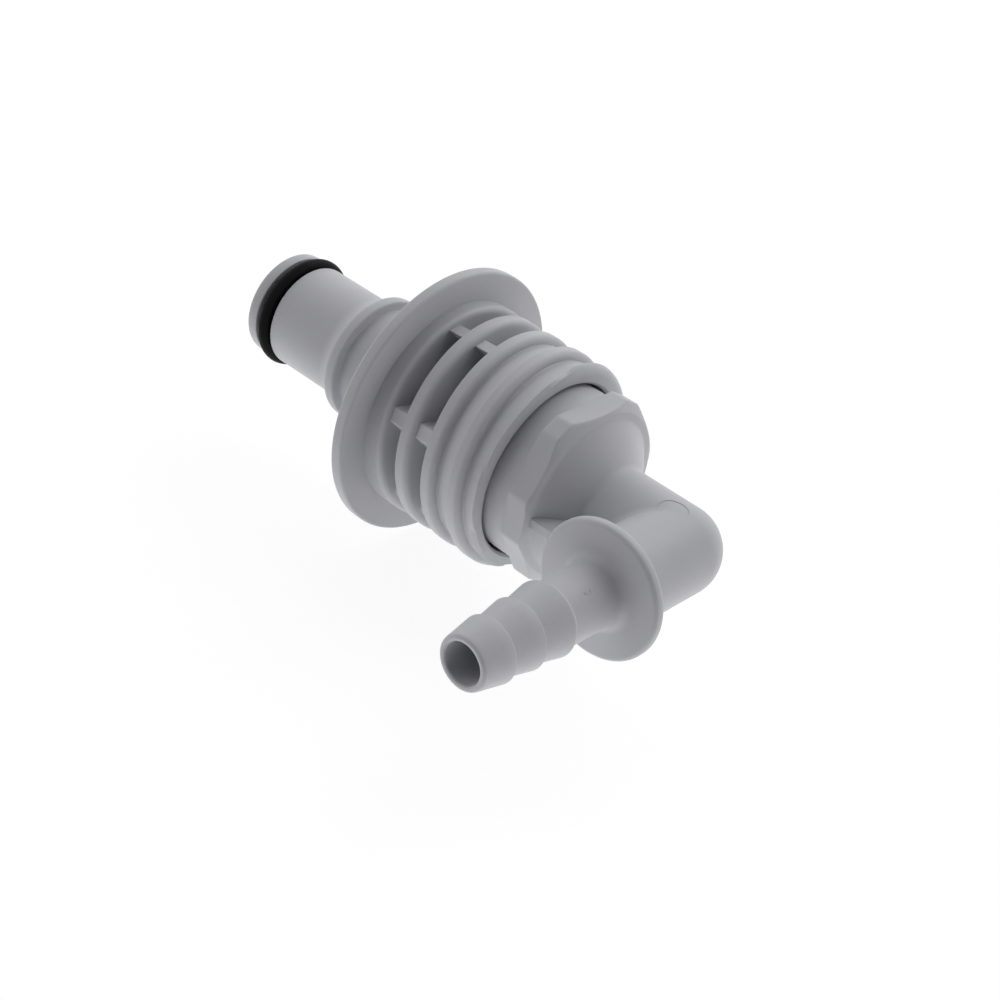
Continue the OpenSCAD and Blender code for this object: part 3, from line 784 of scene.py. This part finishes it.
# %% Make the floor
floor_z = cad_box[0][2] - 0.0002
half = 2.0
floor_mesh = bpy.data.meshes.new("studio_floor")
floor_mesh.from_pydata(
    [(-half, -half, floor_z), (half, -half, floor_z), (half, half, floor_z), (-half, half, floor_z)],
    [], [(0, 1, 2, 3)])
floor = bpy.data.objects.new("studio_floor", floor_mesh)
bpy.context.scene.collection.objects.link(floor)
TABLE_LIGHT = 1.7
paper, tree, output = new_material("paper_white_matt")
rays = add(tree, "ShaderNodeLightPath")
seen = add(tree, "ShaderNodeMath", {
    0: rays.outputs["Is Camera Ray"], 1: rays.outputs["Is Glossy Ray"]}, operation="MAXIMUM")
seen = add(tree, "ShaderNodeMath", {
    0: seen.outputs[0], 1: rays.outputs["Is Transmission Ray"]}, operation="MAXIMUM")
share = add(tree, "ShaderNodeMath", {0: seen.outputs[0], 1: 0.8}, operation="MULTIPLY")
matt = add(tree, "ShaderNodeBsdfDiffuse", {"Color": (0.88, 0.88, 0.88, 1)})
upward = add(tree, "ShaderNodeSeparateXYZ", {
    0: add(tree, "ShaderNodeNewGeometry").outputs["Incoming"]})
glow = formula(tree, "light * lit * up * up", {
    "light": TABLE_LIGHT, "lit": rays.outputs["Is Diffuse Ray"], "up": upward.outputs["Z"]})
table = add(tree, "ShaderNodeEmission", {"Color": (1, 1, 1, 1), "Strength": glow})
lit = add(tree, "ShaderNodeAddShader", {0: matt.outputs[0], 1: table.outputs[0]})
white = add(tree, "ShaderNodeEmission", {"Color": (1, 1, 1, 1), "Strength": 1.1})
mixed = add(tree, "ShaderNodeMixShader", {
    0: share.outputs[0], 1: lit.outputs[0], 2: white.outputs[0]})
tree.links.new(mixed.outputs[0], output.inputs[0])
floor_mesh.materials.append(paper)

# %% Set the sky and the lamps
DARK_SIDE = (0.504, -0.664, 0.552)
WALL_LIGHT, DARK_LIGHT = 1.1, 0.05
world = bpy.data.worlds.new("studio_sky")
world.use_nodes = True
bpy.context.scene.world = world
tree = world.node_tree
tree.nodes.clear()
rays = add(tree, "ShaderNodeLightPath")
seen = add(tree, "ShaderNodeMath", {
    0: rays.outputs["Is Camera Ray"], 1: rays.outputs["Is Glossy Ray"]}, operation="MAXIMUM")
seen = add(tree, "ShaderNodeMath", {
    0: seen.outputs[0], 1: rays.outputs["Is Transmission Ray"]}, operation="MAXIMUM")
way = add(tree, "ShaderNodeTexCoord").outputs["Generated"]
towards = add(tree, "ShaderNodeVectorMath", {0: way, 1: DARK_SIDE}, operation="DOT_PRODUCT")
level = add(tree, "ShaderNodeMapRange", {
    "Value": towards.outputs["Value"], 1: 0.47, 2: 0.62, 3: WALL_LIGHT, 4: DARK_LIGHT},
    interpolation_type="SMOOTHSTEP")
sky = add(tree, "ShaderNodeBackground", {"Color": (1, 1, 1, 1), "Strength": level.outputs[0]})
backdrop = add(tree, "ShaderNodeBackground", {"Color": (1, 1, 1, 1), "Strength": 1.0})
mixed = add(tree, "ShaderNodeMixShader", {
    0: seen.outputs[0], 1: sky.outputs[0], 2: backdrop.outputs[0]})
tree.links.new(mixed.outputs[0], add(tree, "ShaderNodeOutputWorld").inputs[0])


def soft_lamp(name, direction, distance, size, watts):
    """Adds a square lamp at a distance from the part, facing it."""
    data = bpy.data.lights.new(name, "AREA")
    data.size = size
    data.energy = watts
    lamp = bpy.data.objects.new(name, data)
    bpy.context.scene.collection.objects.link(lamp)
    way = Vector(direction).normalized()
    lamp.location = way * distance
    lamp.rotation_euler = way.to_track_quat("Z", "Y").to_euler()
    return lamp


soft_lamp("back_lamp", (0.2, 1.2, 1.2), 0.5, 0.3, 0.38)

# %% [markdown]
# ## Finish
# The scene's colours are shown through the Standard view transform.

# %% Set the view transform
scene = bpy.context.scene
scene.view_settings.view_transform = "Standard"
